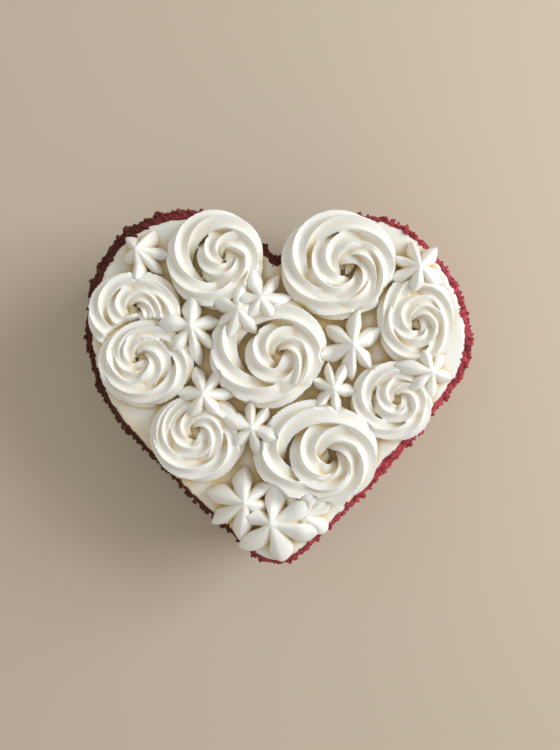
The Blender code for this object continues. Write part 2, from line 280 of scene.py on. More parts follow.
class Surface(NodeTree):
    """The nodes of a material, whose patterns lie fixed on the piece."""

    def __init__(self, name: str, shown: Colour) -> None:
        """Starts a material.

        Args:
            name: Its name.
            shown: Its colour where its nodes aren't drawn.
        """
        self.material = bpy.data.materials.new(name)
        self.material.use_nodes = True
        self.material.diffuse_color = (*shown, 1.0)
        super().__init__(self.material.node_tree)
        self.shader = self.tree.nodes["Principled BSDF"]

    def attribute(self, name: str) -> Field:
        """The number that the piece holds under this name at each point."""
        return self.field("ShaderNodeAttribute", output="Fac", attribute_name=name)

    def noise(self, scale: float, detail: float, roughness: float = 0.5) -> Field:
        """Noise from about 0 to 1 on the piece.

        Args:
            scale: How many of its largest lumps go into a metre.
            detail: How many times finer lumps are added.
            roughness: How strong the finer lumps are.

        Returns:
            The noise as a field.
        """
        place = self.field("ShaderNodeTexCoord", output="Object")
        return self.field("ShaderNodeTexNoise", {
            "Vector": place, "Scale": scale, "Detail": detail, "Roughness": roughness}, "Fac")

    def colour(self, share: Field, low: Colour, high: Colour) -> None:
        """Colours the surface between two colours.

        Args:
            share: The share of the second colour.
            low: The first colour.
            high: The second colour.
        """
        mixed = self.field(
            "ShaderNodeMix",
            {"Factor": share, "A": (*low, 1.0), "B": (*high, 1.0)},
            "Result", data_type="RGBA")
        self.tree.links.new(mixed.socket, self.shader.inputs["Base Color"])

    def bump(self, height: Field, strength: float, height_mm: float) -> None:
        """Roughens the surface.

        Args:
            height: The grain, from about 0 to 1.
            strength: How much of the grain counts.
            height_mm: How high the grain stands.
        """
        rough = self.field("ShaderNodeBump", {
            "Height": height, "Strength": strength, "Distance": height_mm * MM}, "Normal")
        self.tree.links.new(rough.socket, self.shader.inputs["Normal"])

    def constants(self, values: dict[str, Value]) -> None:
        """Sets what is the same all over the surface, by the names of the shader's inputs."""
        for name, value in values.items():
            self.shader.inputs[name].default_value = value


# Meshes


def make_object(name: str, points: np.ndarray, edges: Sequence[tuple[int, int]] = (),
                faces: Sequence[tuple[int, ...]] = ()) -> bpy.types.Object:
    """Makes a mesh object at the origin.

    Args:
        name: Its name.
        points: Rows of x, y and z in metres.
        edges: Pairs of point numbers.
        faces: Tuples of point numbers.

    Returns:
        The object, linked to the scene.
    """
    mesh = bpy.data.meshes.new(name)
    mesh.from_pydata(np.asarray(points).tolist(), list(edges), list(faces))
    obj = bpy.data.objects.new(name, mesh)
    bpy.context.scene.collection.objects.link(obj)
    return obj


def closed_shape(name: str, points: np.ndarray, around: int) -> bpy.types.Object:
    """Makes a closed shape from rings of points.

    Args:
        name: Its name.
        points: Rows of x, y and z in layout millimetres: ring after ring, then the point that
            closes the first ring and the point that closes the last.
        around: How many points each ring has.

    Returns:
        The object, linked to the scene.
    """
    ends = len(points) - 2
    rings = ends // around
    faces = []
    for low in range(0, (rings - 1) * around, around):
        for i in range(around):
            j = (i + 1) % around
            faces.append((low + i, low + j, low + around + j, low + around + i))
    for low, centre in ((0, ends), ((rings - 1) * around, ends + 1)):
        faces += [(low + i, low + (i + 1) % around, centre) for i in range(around)]
    return make_object(name, LAYOUT.to_frame(points), faces=faces)


def apply_modifiers(obj: bpy.types.Object) -> None:
    """Replaces an object's mesh by what its modifiers make of it, and removes them.

    Args:
        obj: The object.
    """
    bpy.context.view_layer.update()
    graph = bpy.context.evaluated_depsgraph_get()
    result = bpy.data.meshes.new_from_object(obj.evaluated_get(graph))
    obj.modifiers.clear()
    old = obj.data
    obj.data = result
    bpy.data.meshes.remove(old)


def points_of(obj: bpy.types.Object) -> np.ndarray:
    """Reads the points of a mesh.

    Args:
        obj: The object with the mesh.

    Returns:
        Rows of x, y and z.
    """
    values = np.empty(3 * len(obj.data.vertices), np.float32)
    obj.data.vertices.foreach_get("co", values)
    return values.reshape(-1, 3).astype(float)


def move_points(obj: bpy.types.Object, points: np.ndarray) -> None:
    """Puts the mesh's points at these places."""
    obj.data.vertices.foreach_set("co", points.astype(np.float32).ravel())
    obj.data.update()


def store(obj: bpy.types.Object, name: str, values: np.ndarray) -> None:
    """Stores one number a point as a named attribute."""
    attribute = obj.data.attributes.new(name, "FLOAT", "POINT")
    attribute.data.foreach_set("value", values.astype(np.float32))


def outward(obj: bpy.types.Object) -> None:
    """Turns the faces of a closed mesh outwards.

    Args:
        obj: The object with the mesh.
    """
    work = bmesh.new()
    work.from_mesh(obj.data)
    bmesh.ops.recalc_face_normals(work, faces=work.faces)
    work.to_mesh(obj.data)
    work.free()


def dress(obj: bpy.types.Object, finish: bpy.types.Material) -> None:
    """Gives a mesh one finish and smooth shading.

    Args:
        obj: The object with the mesh.
        finish: The finish of all its faces.
    """
    obj.data.materials.clear()
    obj.data.materials.append(finish)
    obj.data.polygons.foreach_set("use_smooth", np.ones(len(obj.data.polygons), bool))


class Neighbours:
    """The points that share an edge in a mesh, for smoothing and for finding hollows."""

    pull: float = 0.5
    push: float = 0.42

    def __init__(self, obj: bpy.types.Object) -> None:
        """Reads which points of the mesh share an edge.

        Args:
            obj: The object with the mesh.
        """
        pairs = np.empty(2 * len(obj.data.edges), np.int32)
        obj.data.edges.foreach_get("vertices", pairs)
        self.starts, self.ends = pairs.reshape(-1, 2).T
        self.count = len(obj.data.vertices)
        self.degree = np.maximum(np.bincount(pairs, minlength=self.count), 1)

    def mean(self, values: np.ndarray) -> np.ndarray:
        """The mean of each point's neighbours.

        Args:
            values: A row of values for each point.

        Returns:
            The means, as rows alike.
        """
        total = np.empty_like(values)
        for k in range(values.shape[1]):
            column = values[:, k]
            total[:, k] = np.bincount(self.starts, column[self.ends], self.count)
            total[:, k] += np.bincount(self.ends, column[self.starts], self.count)
        return total / self.degree[:, None]

    def relaxed(self, values: np.ndarray, rounds: int) -> np.ndarray:
        """Moves values halfway to their neighbours' mean.

        Args:
            values: A row of values for each point.
            rounds: How many times.

        Returns:
            The values after that.
        """
        for _ in range(rounds):
            values = 0.5 * (values + self.mean(values))
        return values

    def evened(self, values: np.ndarray, rounds: int) -> np.ndarray:
        """Takes the fine unevenness out of values and keeps their edges.

        Args:
            values: A row of values for each point.
            rounds: How many times.

        Returns:
            The values after that.
        """
        for _ in range(rounds):
            values = values + self.pull * (self.mean(values) - values)
            values = values - self.push * (self.mean(values) - values)
        return values


class HeightMap:
    """Heights over a level grid, used to lay one piece of cream over another. Metres."""

    cell: float = 0.5 * MM
    reach: float = 0.115
    empty: float = -1.0
    open_above: float = 1.0
    enclosed_by: int = 5
    diagonal: float = 1.414
    sides: tuple[tuple[int, int], ...] = ((1, 0), (-1, 0), (0, 1), (0, -1))
    corners: tuple[tuple[int, int], ...] = ((1, 1), (-1, 1), (1, -1), (-1, -1))

    def __init__(self) -> None:
        """Starts with nothing anywhere."""
        self.side = int(2 * self.reach / self.cell)
        self.heights = np.full((self.side, self.side), self.empty)

    def cells(self, points: np.ndarray) -> tuple[np.ndarray, np.ndarray]:
        """The cells under points.

        Args:
            points: Rows of x, y and z.

        Returns:
            The cells' rows and their columns.
        """
        index = np.rint((points[:, :2] + self.reach) / self.cell).astype(int)
        index = np.clip(index, 0, self.side - 1)
        return index[:, 0], index[:, 1]

    def cover(self, points: np.ndarray) -> None:
        """Raises the map to a piece, and closes the pinholes between its points.

        Args:
            points: The piece's points.
        """
        np.maximum.at(self.heights, self.cells(points), points[:, 2])
        peak = np.full_like(self.heights, self.empty)
        filled = np.zeros(self.heights.shape, int)
        for shift in (*self.sides, *self.corners):
            near = np.roll(self.heights, shift, (0, 1))
            peak = np.maximum(peak, near)
            filled += near > self.empty
        holes = (self.heights == self.empty) & (filled >= self.enclosed_by)
        self.heights[holes] = peak[holes]

    def ceiling(self, gap: float, slope: float, steps: int) -> HeightMap:
        """The height that an earlier piece may keep under and beside this one.

        Args:
            gap: How far below this piece's surface it ends, in metres.
            slope: How steeply it may rise beside this piece.
            steps: How many cells to the side it is held down.

        Returns:
            A map that is very high where the earlier piece is left alone.
        """
        held = HeightMap()
        held.heights = np.where(self.heights > self.empty, self.heights - gap, self.open_above)
        rise = slope * self.cell
        for _ in range(steps):
            for shifts, further in ((self.sides, rise), (self.corners, self.diagonal * rise)):
                for shift in shifts:
                    near = np.roll(held.heights, shift, (0, 1)) + further
                    held.heights = np.minimum(held.heights, near)
        return held

    def blurred(self, floor: float, rounds: int) -> HeightMap:
        """The map filled up to a floor where it is empty, and smoothed.

        Args:
            floor: The lowest height, in metres.
            rounds: How many times it is smoothed.

        Returns:
            The smoothed map.
        """
        soft = HeightMap()
        soft.heights = np.maximum(self.heights, floor)
        for _ in range(rounds):
            for axis in (0, 1):
                near = np.roll(soft.heights, 1, axis) + np.roll(soft.heights, -1, axis)
                soft.heights = 0.5 * soft.heights + 0.25 * near
        return soft

    def at(self, points: np.ndarray) -> np.ndarray:
        """The height under each point, blended between the four cells around it.

        Args:
            points: Rows of x, y and z.

        Returns:
            One height a point.
        """
        place = np.clip((points[:, :2] + self.reach) / self.cell, 0, self.side - 2)
        low = place.astype(int)
        u, v = (place - low).T
        x, y = low.T
        h = self.heights
        near = (1 - v) * h[x, y] + v * h[x, y + 1]
        far = (1 - v) * h[x + 1, y] + v * h[x + 1, y + 1]
        return (1 - u) * near + u * far


# Finishes


class Slot(Enum):
    """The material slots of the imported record."""

    CRUMB = "red_crumb"
    COAT = "cream_coat"
    PIPED = "piped_cream"


@dataclass(frozen=True)
class CreamFinish:
    """Whipped cream cheese icing: pale ivory, satin, a little translucent, with warm painted shade in
    its hollows.
    """

    name: str
    crest: Colour = (0.92, 0.92, 0.895)
    # The colour of the painted shade that hollows and gaps turn towards.
    hollow_shade: Colour = (0.81, 0.635, 0.33)
    patches_a_metre: float = 60.0
    patch_detail: float = 2.0
    patch_share: float = 0.25
    roughness: float = 0.46
    scatter: float = 0.35
    scatter_mm: float = 2.0
    scatter_colour: Colour = (1.0, 0.75, 0.45)
    grain_mm: float = 1.4
    grain_detail: float = 3.0
    grain_roughness: float = 0.6
    grain_height_mm: float = 0.05
    grain_strength: float = 0.6

    def material(self) -> bpy.types.Material:
        """Builds the material, with painted shade in the hollows from the piece's shade attribute.

        Returns:
            The material.
        """
        surface = Surface(self.name, self.crest)
        patches = surface.noise(self.patches_a_metre, self.patch_detail)
        # Painted shade: the stored shade share, varied at random by patches, mixes the cream towards
        # the shade colour.
        hollow_shade = surface.attribute("hollow_shade") + (patches - 0.5) * self.patch_share
        surface.colour(surface.field("ShaderNodeClamp", {"Value": hollow_shade}), self.crest, self.hollow_shade)
        grain = surface.noise(1.0 / (self.grain_mm * MM), self.grain_detail, self.grain_roughness)
        surface.bump(grain, self.grain_strength, self.grain_height_mm)
        surface.constants({
            "Roughness": self.roughness,
            "Subsurface Weight": self.scatter,
            "Subsurface Radius": self.scatter_colour,
            "Subsurface Scale": self.scatter_mm * MM,
        })
        return surface.material


@dataclass(frozen=True)
class CrumbFinish:
    """Red velvet crumb: deep matt red that changes from crumb to crumb, with painted shade on the side
    away from the light.
    """

    name: str
    # The darkest crumb colour, which the painted shade also reaches.
    dark_and_shaded: Colour = (0.084, 0.027, 0.018)
    bright: Colour = (0.60, 0.086, 0.122)
    roughness: float = 0.9
    gloss: float = 0.25
    patch_mm: float = 3.0
    patch_detail: float = 4.0
    patch_roughness: float = 0.7
    patch_low: float = 0.32
    patch_high: float = 0.62
    least_bright: float = 0.3
    grain_mm: float = 0.5
    grain_detail: float = 2.0
    grain_height_mm: float = 0.3
    grain_strength: float = 0.9

    def material(self) -> bpy.types.Material:
        """Builds the material from two scales of noise and the piece's attribute of painted light and
        shade.

        Returns:
            The material.
        """
        surface = Surface(self.name, self.bright)
        patches = surface.noise(1.0 / (self.patch_mm * MM), self.patch_detail, self.patch_roughness)
        bright = surface.field("ShaderNodeMapRange", {
            "Value": patches, "From Min": self.patch_low, "From Max": self.patch_high,
            "To Min": self.least_bright}, "Result")
        # Painted shade: the lit share darkens the crumb away from the light, random patches vary it.
        surface.colour(surface.attribute("painted_lit_share") * bright, self.dark_and_shaded, self.bright)
        grain = surface.noise(1.0 / (self.grain_mm * MM), self.grain_detail)
        surface.bump(grain, self.grain_strength, self.grain_height_mm)
        surface.constants({"Roughness": self.roughness, "Specular IOR Level": self.gloss})
        return surface.material


# Heart outline


@dataclass(frozen=True)
class Anchor:
    """A point of the outline, the heading there, and its handle lengths."""

    x: float
    y: float
    heading_deg: float
    before: float
    after: float


@dataclass(frozen=True)
class ByBearing:
    """A value that changes with the bearing from the heart's middle."""

    bearings: tuple[float, ...]
    values: tuple[float, ...]

    def at(self, points: np.ndarray) -> np.ndarray:
        """The value at each point."""
        bearing = np.degrees(np.arctan2(points[:, 1], points[:, 0]))
        return np.interp(bearing, self.bearings, self.values, period=360.0)


@dataclass(frozen=True)
class Heart:
    """The uneven heart that the cake was baked as, clockwise from its notch.

    The rim is how far the cream stays behind the crumb edge. The lit share is painted light and
    shade on the crumb, from shaded at 0 on the left and in the notch to lit at 1 on the right.
    """

    anchors: tuple[Anchor, ...] = (
        Anchor(-1.5, 60.5, 55.0, 0.0, 12.0),
        Anchor(43.0, 84.5, 0.0, 20.0, 27.0),
        Anchor(101.0, 18.0, -90.0, 34.0, 15.0),
        Anchor(83.4, -18.0, -128.0, 17.0, 30.0),
        Anchor(17.6, -89.2, -137.0, 30.0, 7.5),
        Anchor(-1.0, -99.6, -180.0, 7.0, 8.0),
        Anchor(-17.0, -93.0, -225.0, 6.0, 32.0),
        Anchor(-83.5, -26.5, -229.0, 30.0, 16.0),
        Anchor(-102.6, 25.0, -270.0, 20.0, 38.0),
        Anchor(-46.0, 87.2, -360.0, 34.0, 20.0),
        Anchor(-1.5, 60.5, -412.0, 12.0, 0.0),
    )
    span_points: int = 60
    rim: ByBearing = ByBearing(
        (-90, -60, -40, -20, 5, 40, 70, 105, 128, 150, 180, 205, 235, 255),
        (2.2, 2.2, 4.2, 2.4, 3.6, 2.2, 1.9, 3.8, 4.8, 4.0, 2.6, 2.3, 1.5, 1.9))
    # Painted light and shade by bearing: lit on the right, shaded on the left and in the notch.
    painted_lit_share: ByBearing = ByBearing(
        (-90, -60, -30, 30, 58, 66, 88, 104, 113, 122, 136, 180, 230, 255),
        (0.75, 1.0, 1.0, 1.0, 0.8, 0.4, 0.03, 0.1, 0.42, 0.42, 0.06, 0.02, 0.03, 0.2))

    def outline(self, count: int) -> np.ndarray:
        """Points evenly spaced along the outline.

        Args:
            count: How many.

        Returns:
            Rows of x and y.
        """
        share = np.linspace(0.0, 1.0, self.span_points, endpoint=False)[:, None]
        rest = 1.0 - share
        spans = []
        for start, end in zip(self.anchors, self.anchors[1:]):
            a = np.array([start.x, start.y])
            d = np.array([end.x, end.y])
            b = a + start.after * unit(start.heading_deg)
            c = d - end.before * unit(end.heading_deg)
            spans.append(rest**3 * a + 3 * rest**2 * share * b + 3 * rest * share**2 * c + share**3 * d)
        line = np.vstack([*spans, spans[0][:1]])
        length = lengths_along(line)
        wanted = np.linspace(0.0, length[-1], count, endpoint=False)
        return np.stack([np.interp(wanted, length, line[:, k]) for k in (0, 1)], axis=1)

    def normals(self, outline: np.ndarray) -> np.ndarray:
        """The outward direction at each point of the outline.

        Args:
            outline: Rows of x and y.

        Returns:
            Rows of x and y, each of length 1.
        """
        along = np.roll(outline, -1, axis=0) - np.roll(outline, 1, axis=0)
        out = np.stack([-along[:, 1], along[:, 0]], axis=1)
        return out / np.linalg.norm(out, axis=1)[:, None]


def lengths_along(line: np.ndarray) -> np.ndarray:
    """How far along a line each of its points lies."""
    return np.concatenate([[0.0], np.cumsum(np.linalg.norm(np.diff(line, axis=0), axis=1))])


HEART = Heart()


@dataclass(frozen=True)
class Roughness:
    """Noise of one scale: its height, the size of its lumps, and where in the noise it lies."""

    height: float
    lump_mm: float
    octaves: int
    seed: float
    weaker: float = 0.8
    finer: float = 2.0

    def at(self, points: np.ndarray) -> np.ndarray:
        """The height at each point, from about minus its height to plus.

        Args:
            points: Rows of x, y and z in millimetres.

        Returns:
            One value a point.
        """
        start = Vector((self.seed, 0.0, 0.0))
        values = []
        for point in points.tolist():
            place = Vector(point) / self.lump_mm + start
            values.append(noise.fractal(place, self.weaker, self.finer, self.octaves))
        return self.height * np.array(values)


# Cake


@dataclass(frozen=True)
class CrumbKind:
    """One size of crumb on the side."""

    name: str
    size_mm: float
    spread: float
    count: int
    sink: float
    seed: int


@dataclass
class CrumbCoat:
    """The cake's rough side and rim, with loose crumbs that cling to it."""

    around: int = 1200
    rows: int = 66
    inset: float = 0.5
    foot_inset: float = 1.2
    foot_height: float = 1.5
    rim_shares: tuple[float, ...] = (0.1, 0.25, 0.4, 0.55, 0.7, 0.85, 1.0)
    recess_share: float = 1.02
    recess_drop: float = 0.3
    lump_mm: float = 1.1
    large_lumps: Roughness = Roughness(0.6, 7.0, 3, 1.0)
    small_lumps: Roughness = Roughness(0.4, 2.2, 3, 4.0)
    rim_lift: float = 0.7
    side_lift: float = 0.2
    kinds: tuple[CrumbKind, ...] = (
        CrumbKind("crumbs_fine", 1.0, 0.35, 9000, 0.4, 3),
        CrumbKind("crumbs_medium", 1.6, 0.35, 9000, 0.35, 5),
        CrumbKind("crumbs_coarse", 2.5, 0.4, 3400, 0.3, 8),
        CrumbKind("crumbs_clumped", 3.4, 0.35, 640, 0.3, 13),
    )

    def profile(self) -> list[tuple[float, float, float]]:
        """The coat's rings from floor to recess.

        Returns:
            The shift outwards, the share of the rim and the height of each.
        """
        side = [(-self.inset, 0.0, LAYOUT.rim_outer * row / self.rows) for row in range(self.rows + 1)]
        side[0] = (-self.foot_inset, 0.0, 0.0)
        rise = LAYOUT.rim_inner - LAYOUT.rim_outer
        rim = [(-self.inset, share, LAYOUT.rim_outer + rise * min(1.0, 2 * share))
               for share in self.rim_shares]
        return [*side, *rim, (-self.inset, self.recess_share, LAYOUT.cream_base - self.recess_drop)]

    def points(self) -> np.ndarray:
        """The coat's points, with the middles of the floor and the recess at the end.

        Returns:
            Rows of x, y and z in layout millimetres.
        """
        outline = HEART.outline(self.around)
        normals = HEART.normals(outline)
        rim = HEART.rim.at(outline)
        rings = []
        for shift, share, height in self.profile():
            ring = outline + (shift - share * rim)[:, None] * normals
            rings.append(np.column_stack([ring, np.full(self.around, height)]))
        points = np.vstack(rings)
        out = np.tile(np.column_stack([normals, np.zeros(self.around)]), (len(rings), 1))
        lumps = self.lump_mm * (self.large_lumps.at(points) + self.small_lumps.at(points))
        on_side = smooth_step(points[:, 2] / self.foot_height)
        level = np.repeat(np.arange(len(rings)) > self.rows, self.around)
        points += (lumps * on_side * ~level)[:, None] * out
        rise = np.where(level, self.rim_lift * lumps, 0.0)
        rise += np.where(on_side < 1.0, 0.0, self.side_lift * lumps)
        points[:, 2] = np.maximum(points[:, 2] + rise, 0.0)
        return np.vstack([points, [0.0, 0.0, 0.0], [0.0, 0.0, LAYOUT.cream_base - self.recess_drop]])

    def build(self, finish: bpy.types.Material) -> list[bpy.types.Object]:
        """Builds the coat and its crumbs.

        Args:
            finish: The crumb material.

        Returns:
            The coat first, then one piece for each kind of crumb.
        """
        points = self.points()
        coat = closed_shape("crumb_coat", points, self.around)
        # Painted light and shade by bearing, carried on to the crumbs.
        store(coat, "painted_lit_share", HEART.painted_lit_share.at(points))
        thickness = HEART.rim.at(points) / np.mean(HEART.rim.at(HEART.outline(self.around)))
        thickness[-2 - self.around:] = 0.0
        store(coat, "thickness", thickness)
        outward(coat)
        dress(coat, finish)
        tree = crumb_tree()
        return [coat] + [self.scatter(kind, tree, coat, finish) for kind in self.kinds]

    def scatter(self, kind: CrumbKind, tree: Modelling, coat: bpy.types.Object,
                finish: bpy.types.Material) -> bpy.types.Object:
        """Scatters one kind of crumb over the side and rim.

        Args:
            kind: The kind of crumb.
            tree: The tree that scatters crumbs.
            coat: What they cling to.
            finish: The crumb material.

        Returns:
            The crumbs as one piece.
        """
        crumbs = bpy.data.objects.new(kind.name, coat.data.copy())
        bpy.context.scene.collection.objects.link(crumbs)
        area = sum(p.area for p in coat.data.polygons if p.center.z > MM)
        tree.run(crumbs, Size=kind.size_mm * MM, Spread=kind.spread, Sink=kind.sink,
                 Density=kind.count / area, Seed=kind.seed, Material=finish)
        return crumbs


def crumb_tree() -> Modelling:
    """A tree that scatters lumpy crumbs over the faces that come in.

    Returns:
        The tree, with the inputs Size, Spread, Sink, Density, Seed and Material.
    """
    clearance = 1.3
    facing_up = 0.98
    dent_scale = 1.7
    dent_depth = 0.9
    slim = 0.6
    stout = 1.3
    full_turn = 6.283
    stretch_seed = 20.0
    swing_seed = 40.0
    tree = Modelling("scatter_crumbs")
    size = tree.input("Size", "Float", 0.001)
    spread = tree.input("Spread", "Float", 0.3)
    sink = tree.input("Sink", "Float", 0.2)
    density = tree.input("Density", "Float", 1000.0)
    seed = tree.input("Seed", "Int", 1)
    material = tree.input("Material", "Material")
    height = tree.parts(tree.field("GeometryNodeInputPosition"))[2]
    facing = tree.parts(tree.field("GeometryNodeInputNormal"))[2]
    above_floor = tree.field(
        "FunctionNodeCompare", {0: height, 1: size * clearance}, operation="GREATER_THAN")
    recess = tree.field("FunctionNodeCompare", {0: facing, 1: facing_up}, operation="GREATER_THAN")
    wanted = tree.field("FunctionNodeBooleanMath", {0: above_floor, 1: recess}, operation="NIMPLY")
    scatter = tree.add("GeometryNodeDistributePointsOnFaces", {
        "Mesh": tree.geometry, "Selection": wanted, "Density": density * tree.named("thickness"),
        "Seed": seed})
    away = tree.scaled(Field(tree, scatter.outputs["Normal"]), size * (0.5 - sink))
    points = tree.field("GeometryNodeSetPosition", {
        "Geometry": Field(tree, scatter.outputs["Points"]), "Offset": away})
    ball = tree.field("GeometryNodeMeshIcoSphere", {"Radius": 0.5, "Subdivisions": 1}, "Mesh")
    dents = tree.field("ShaderNodeTexNoise", {"Scale": dent_scale, "Detail": 1.0}, "Color")
    shift = tree.scaled(tree.vector("SUBTRACT", dents, (0.5, 0.5, 0.5)), dent_depth)
    lump = tree.field("GeometryNodeSetPosition", {"Geometry": ball, "Offset": shift})
    turn = tree.field("FunctionNodeRandomValue", {
        "Min": (0.0,) * 3, "Max": (full_turn,) * 3, "Seed": seed},
        "Value", data_type="FLOAT_VECTOR")
    stretch = tree.field("FunctionNodeRandomValue", {
        "Min": (slim,) * 3, "Max": (stout,) * 3, "Seed": seed + stretch_seed},
        "Value", data_type="FLOAT_VECTOR")
    swing = tree.field("FunctionNodeRandomValue", {2: -1.0, 3: 1.0, "Seed": seed + swing_seed}, 1)
    scale = tree.scaled(stretch, size * (1.0 + spread * swing))
    placed = tree.field("GeometryNodeInstanceOnPoints", {
        "Points": points, "Instance": lump, "Rotation": turn, "Scale": scale}, "Instances")
    tree.finish(placed, material)
    return tree


@dataclass
class CreamBed:
    """The spread of cream under the piping, with a ragged edge and faint strokes of the knife.

    The edge is how far behind the rim each of its rings lies, and how high. The edge shade is
    painted shade near the edge, on the left and lower left where its sloping side lies in shadow.
    """

    around: int = 720
    rings_inwards: int = 56
    edge: tuple[tuple[float, float], ...] = (
        (0.2, 62.0), (0.1, 63.2), (0.3, 64.0), (0.8, 64.6), (1.6, 64.9), (2.6, 65.0))
    middle: tuple[float, float] = (0.0, 5.0)
    ragged: Roughness = Roughness(0.9, 5.0, 3, 7.0)
    strokes: Roughness = Roughness(0.35, 9.0, 2, 2.0)
    stroke_stretch: tuple[float, float, float] = (0.35, 1.0, 1.0)
    strokes_above: float = 64.0
    # Painted shade along the edge by bearing, strongest on the left and lower left.
    edge_shade: ByBearing = ByBearing((-130, -100, 120, 160, 190, 200), (0.5, 0.0, 0.0, 0.2, 0.3, 0.5))
    edge_shade_from: float = 1.0
    edge_shade_width: float = 7.0
    inner_depths: tuple[float, float] = (3.0, 60.0)

    def build(self, finish: bpy.types.Material) -> tuple[bpy.types.Object, np.ndarray]:
        """Builds the bed.

        Args:
            finish: The cream material.

        Returns:
            The bed, and the painted shade near its edge at each of its points.
        """
        outline = HEART.outline(self.around)
        normals = HEART.normals(outline)
        rim = HEART.rim.at(outline)
        ragged = self.ragged.at(np.column_stack([outline, np.zeros(self.around)]))
        rings = []
        for behind, height in self.edge:
            ring = outline - (rim + behind - ragged)[:, None] * normals
            rings.append(np.column_stack([ring, np.full(self.around, height)]))
        last = rings[-1]
        middle = np.array([*self.middle, last[0, 2]])
        for step in range(1, self.rings_inwards):
            rings.append(last + step / self.rings_inwards * (middle - last))
        points = np.vstack(rings)
        strokes = self.strokes.at(points * np.array(self.stroke_stretch))
        points[:, 2] += strokes * smooth_step(points[:, 2] - self.strokes_above)
        points = np.vstack([points, [*self.middle, LAYOUT.cream_base], middle])
        bed = closed_shape("cream_bed", points, self.around)
        outward(bed)
        dress(bed, finish)
        # Painted shade near the edge, fading inwards.
        inner = np.linspace(*self.inner_depths, self.rings_inwards - 1)
        depth = np.concatenate([[behind for behind, _ in self.edge], inner])
        fade = 1.0 - smooth_step((depth - self.edge_shade_from) / self.edge_shade_width)
        return bed, np.concatenate([np.outer(fade, self.edge_shade.at(outline)).ravel(), [0.0, 0.0]])


# Piping


def piping_tree() -> Modelling:
    """A tree that lays a toothed rope along a path.

    The nozzle keeps its bearing while the path turns, so the ridges wander round the rope. The
    path's points have the attributes heading, nozzle, bend, reach, valley and crest.

    Returns:
        The tree, with the inputs Teeth, Columns, Tooth bearing, Floor and Material.
    """
    tree = Modelling("lay_rope")
    teeth = tree.input("Teeth", "Float", TEETH)
    columns = tree.input("Columns", "Int", 96)
    tooth = tree.input("Tooth bearing", "Float", 0.0)
    floor = tree.input("Floor", "Float", 0.0)
    material = tree.input("Material", "Material")
    count = tree.field("GeometryNodeAttributeDomainSize", {"Geometry": tree.geometry}, "Point Count")
    tube = tree.field("GeometryNodeMeshCylinder", {
        "Vertices": columns, "Side Segments": count - 1.0, "Radius": 1.0, "Depth": 1.0}, "Mesh")
    index = tree.field("GeometryNodeInputIndex")
    row = tree.math("FLOOR", (index + 0.5) / columns)
    column = index - row * columns

    def along(value: Field, kind: str = "FLOAT") -> Field:
        """The value that the path has at this ring of the tube."""
        return tree.field("GeometryNodeSampleIndex", {
            "Geometry": tree.geometry, "Value": value, "Index": row}, "Value", data_type=kind)

    middle = along(tree.field("GeometryNodeInputPosition"), "FLOAT_VECTOR")
    heading = along(tree.named("heading"))
    bend = along(tree.named("bend"))
    reach = along(tree.named("reach"))
    valley = along(tree.named("valley"))
    crest = along(tree.named("crest"))
    on_nozzle = column * math.tau / columns
    around = on_nozzle + tooth + along(tree.named("nozzle"))
    ridge = 1.0 - tree.math("ABSOLUTE", tree.math("SINE", on_nozzle * teeth * 0.5)) ** crest
    radius = reach * (valley + (1.0 - valley) * ridge)
    ahead = tree.math("COSINE", around - heading) * radius
    aside = tree.math("SINE", around - heading) * radius
    level = ahead * tree.math("COSINE", bend)
    cos_heading = tree.math("COSINE", heading)
    sin_heading = tree.math("SINE", heading)
    offset = tree.combine(
        level * cos_heading - aside * sin_heading,
        level * sin_heading + aside * cos_heading,
        ahead * tree.math("SINE", bend) * -1.0)
    x, y, z = tree.parts(tree.vector("ADD", middle, offset))
    place = tree.combine(x, y, tree.math("MAXIMUM", z, floor))
    rope = tree.field("GeometryNodeSetPosition", {"Geometry": tube, "Position": place})
    tree.finish(rope, material)
    return tree


def join_skin(obj: bpy.types.Object, finish: bpy.types.Material) -> None:
    """Joins what overlaps in a mesh into one even skin, softens it and dresses it.

    Args:
        obj: The piece, whose mesh may cross itself.
        finish: Its material.
    """
    soften_rounds = 3
    even_rounds = 2
    modifier = obj.modifiers.new("join", "REMESH")
    modifier.mode = "VOXEL"
    modifier.voxel_size = VOXEL
    apply_modifiers(obj)
    near = Neighbours(obj)
    soft = near.relaxed(points_of(obj), soften_rounds)
    move_points(obj, near.evened(soft, even_rounds))
    dress(obj, finish)


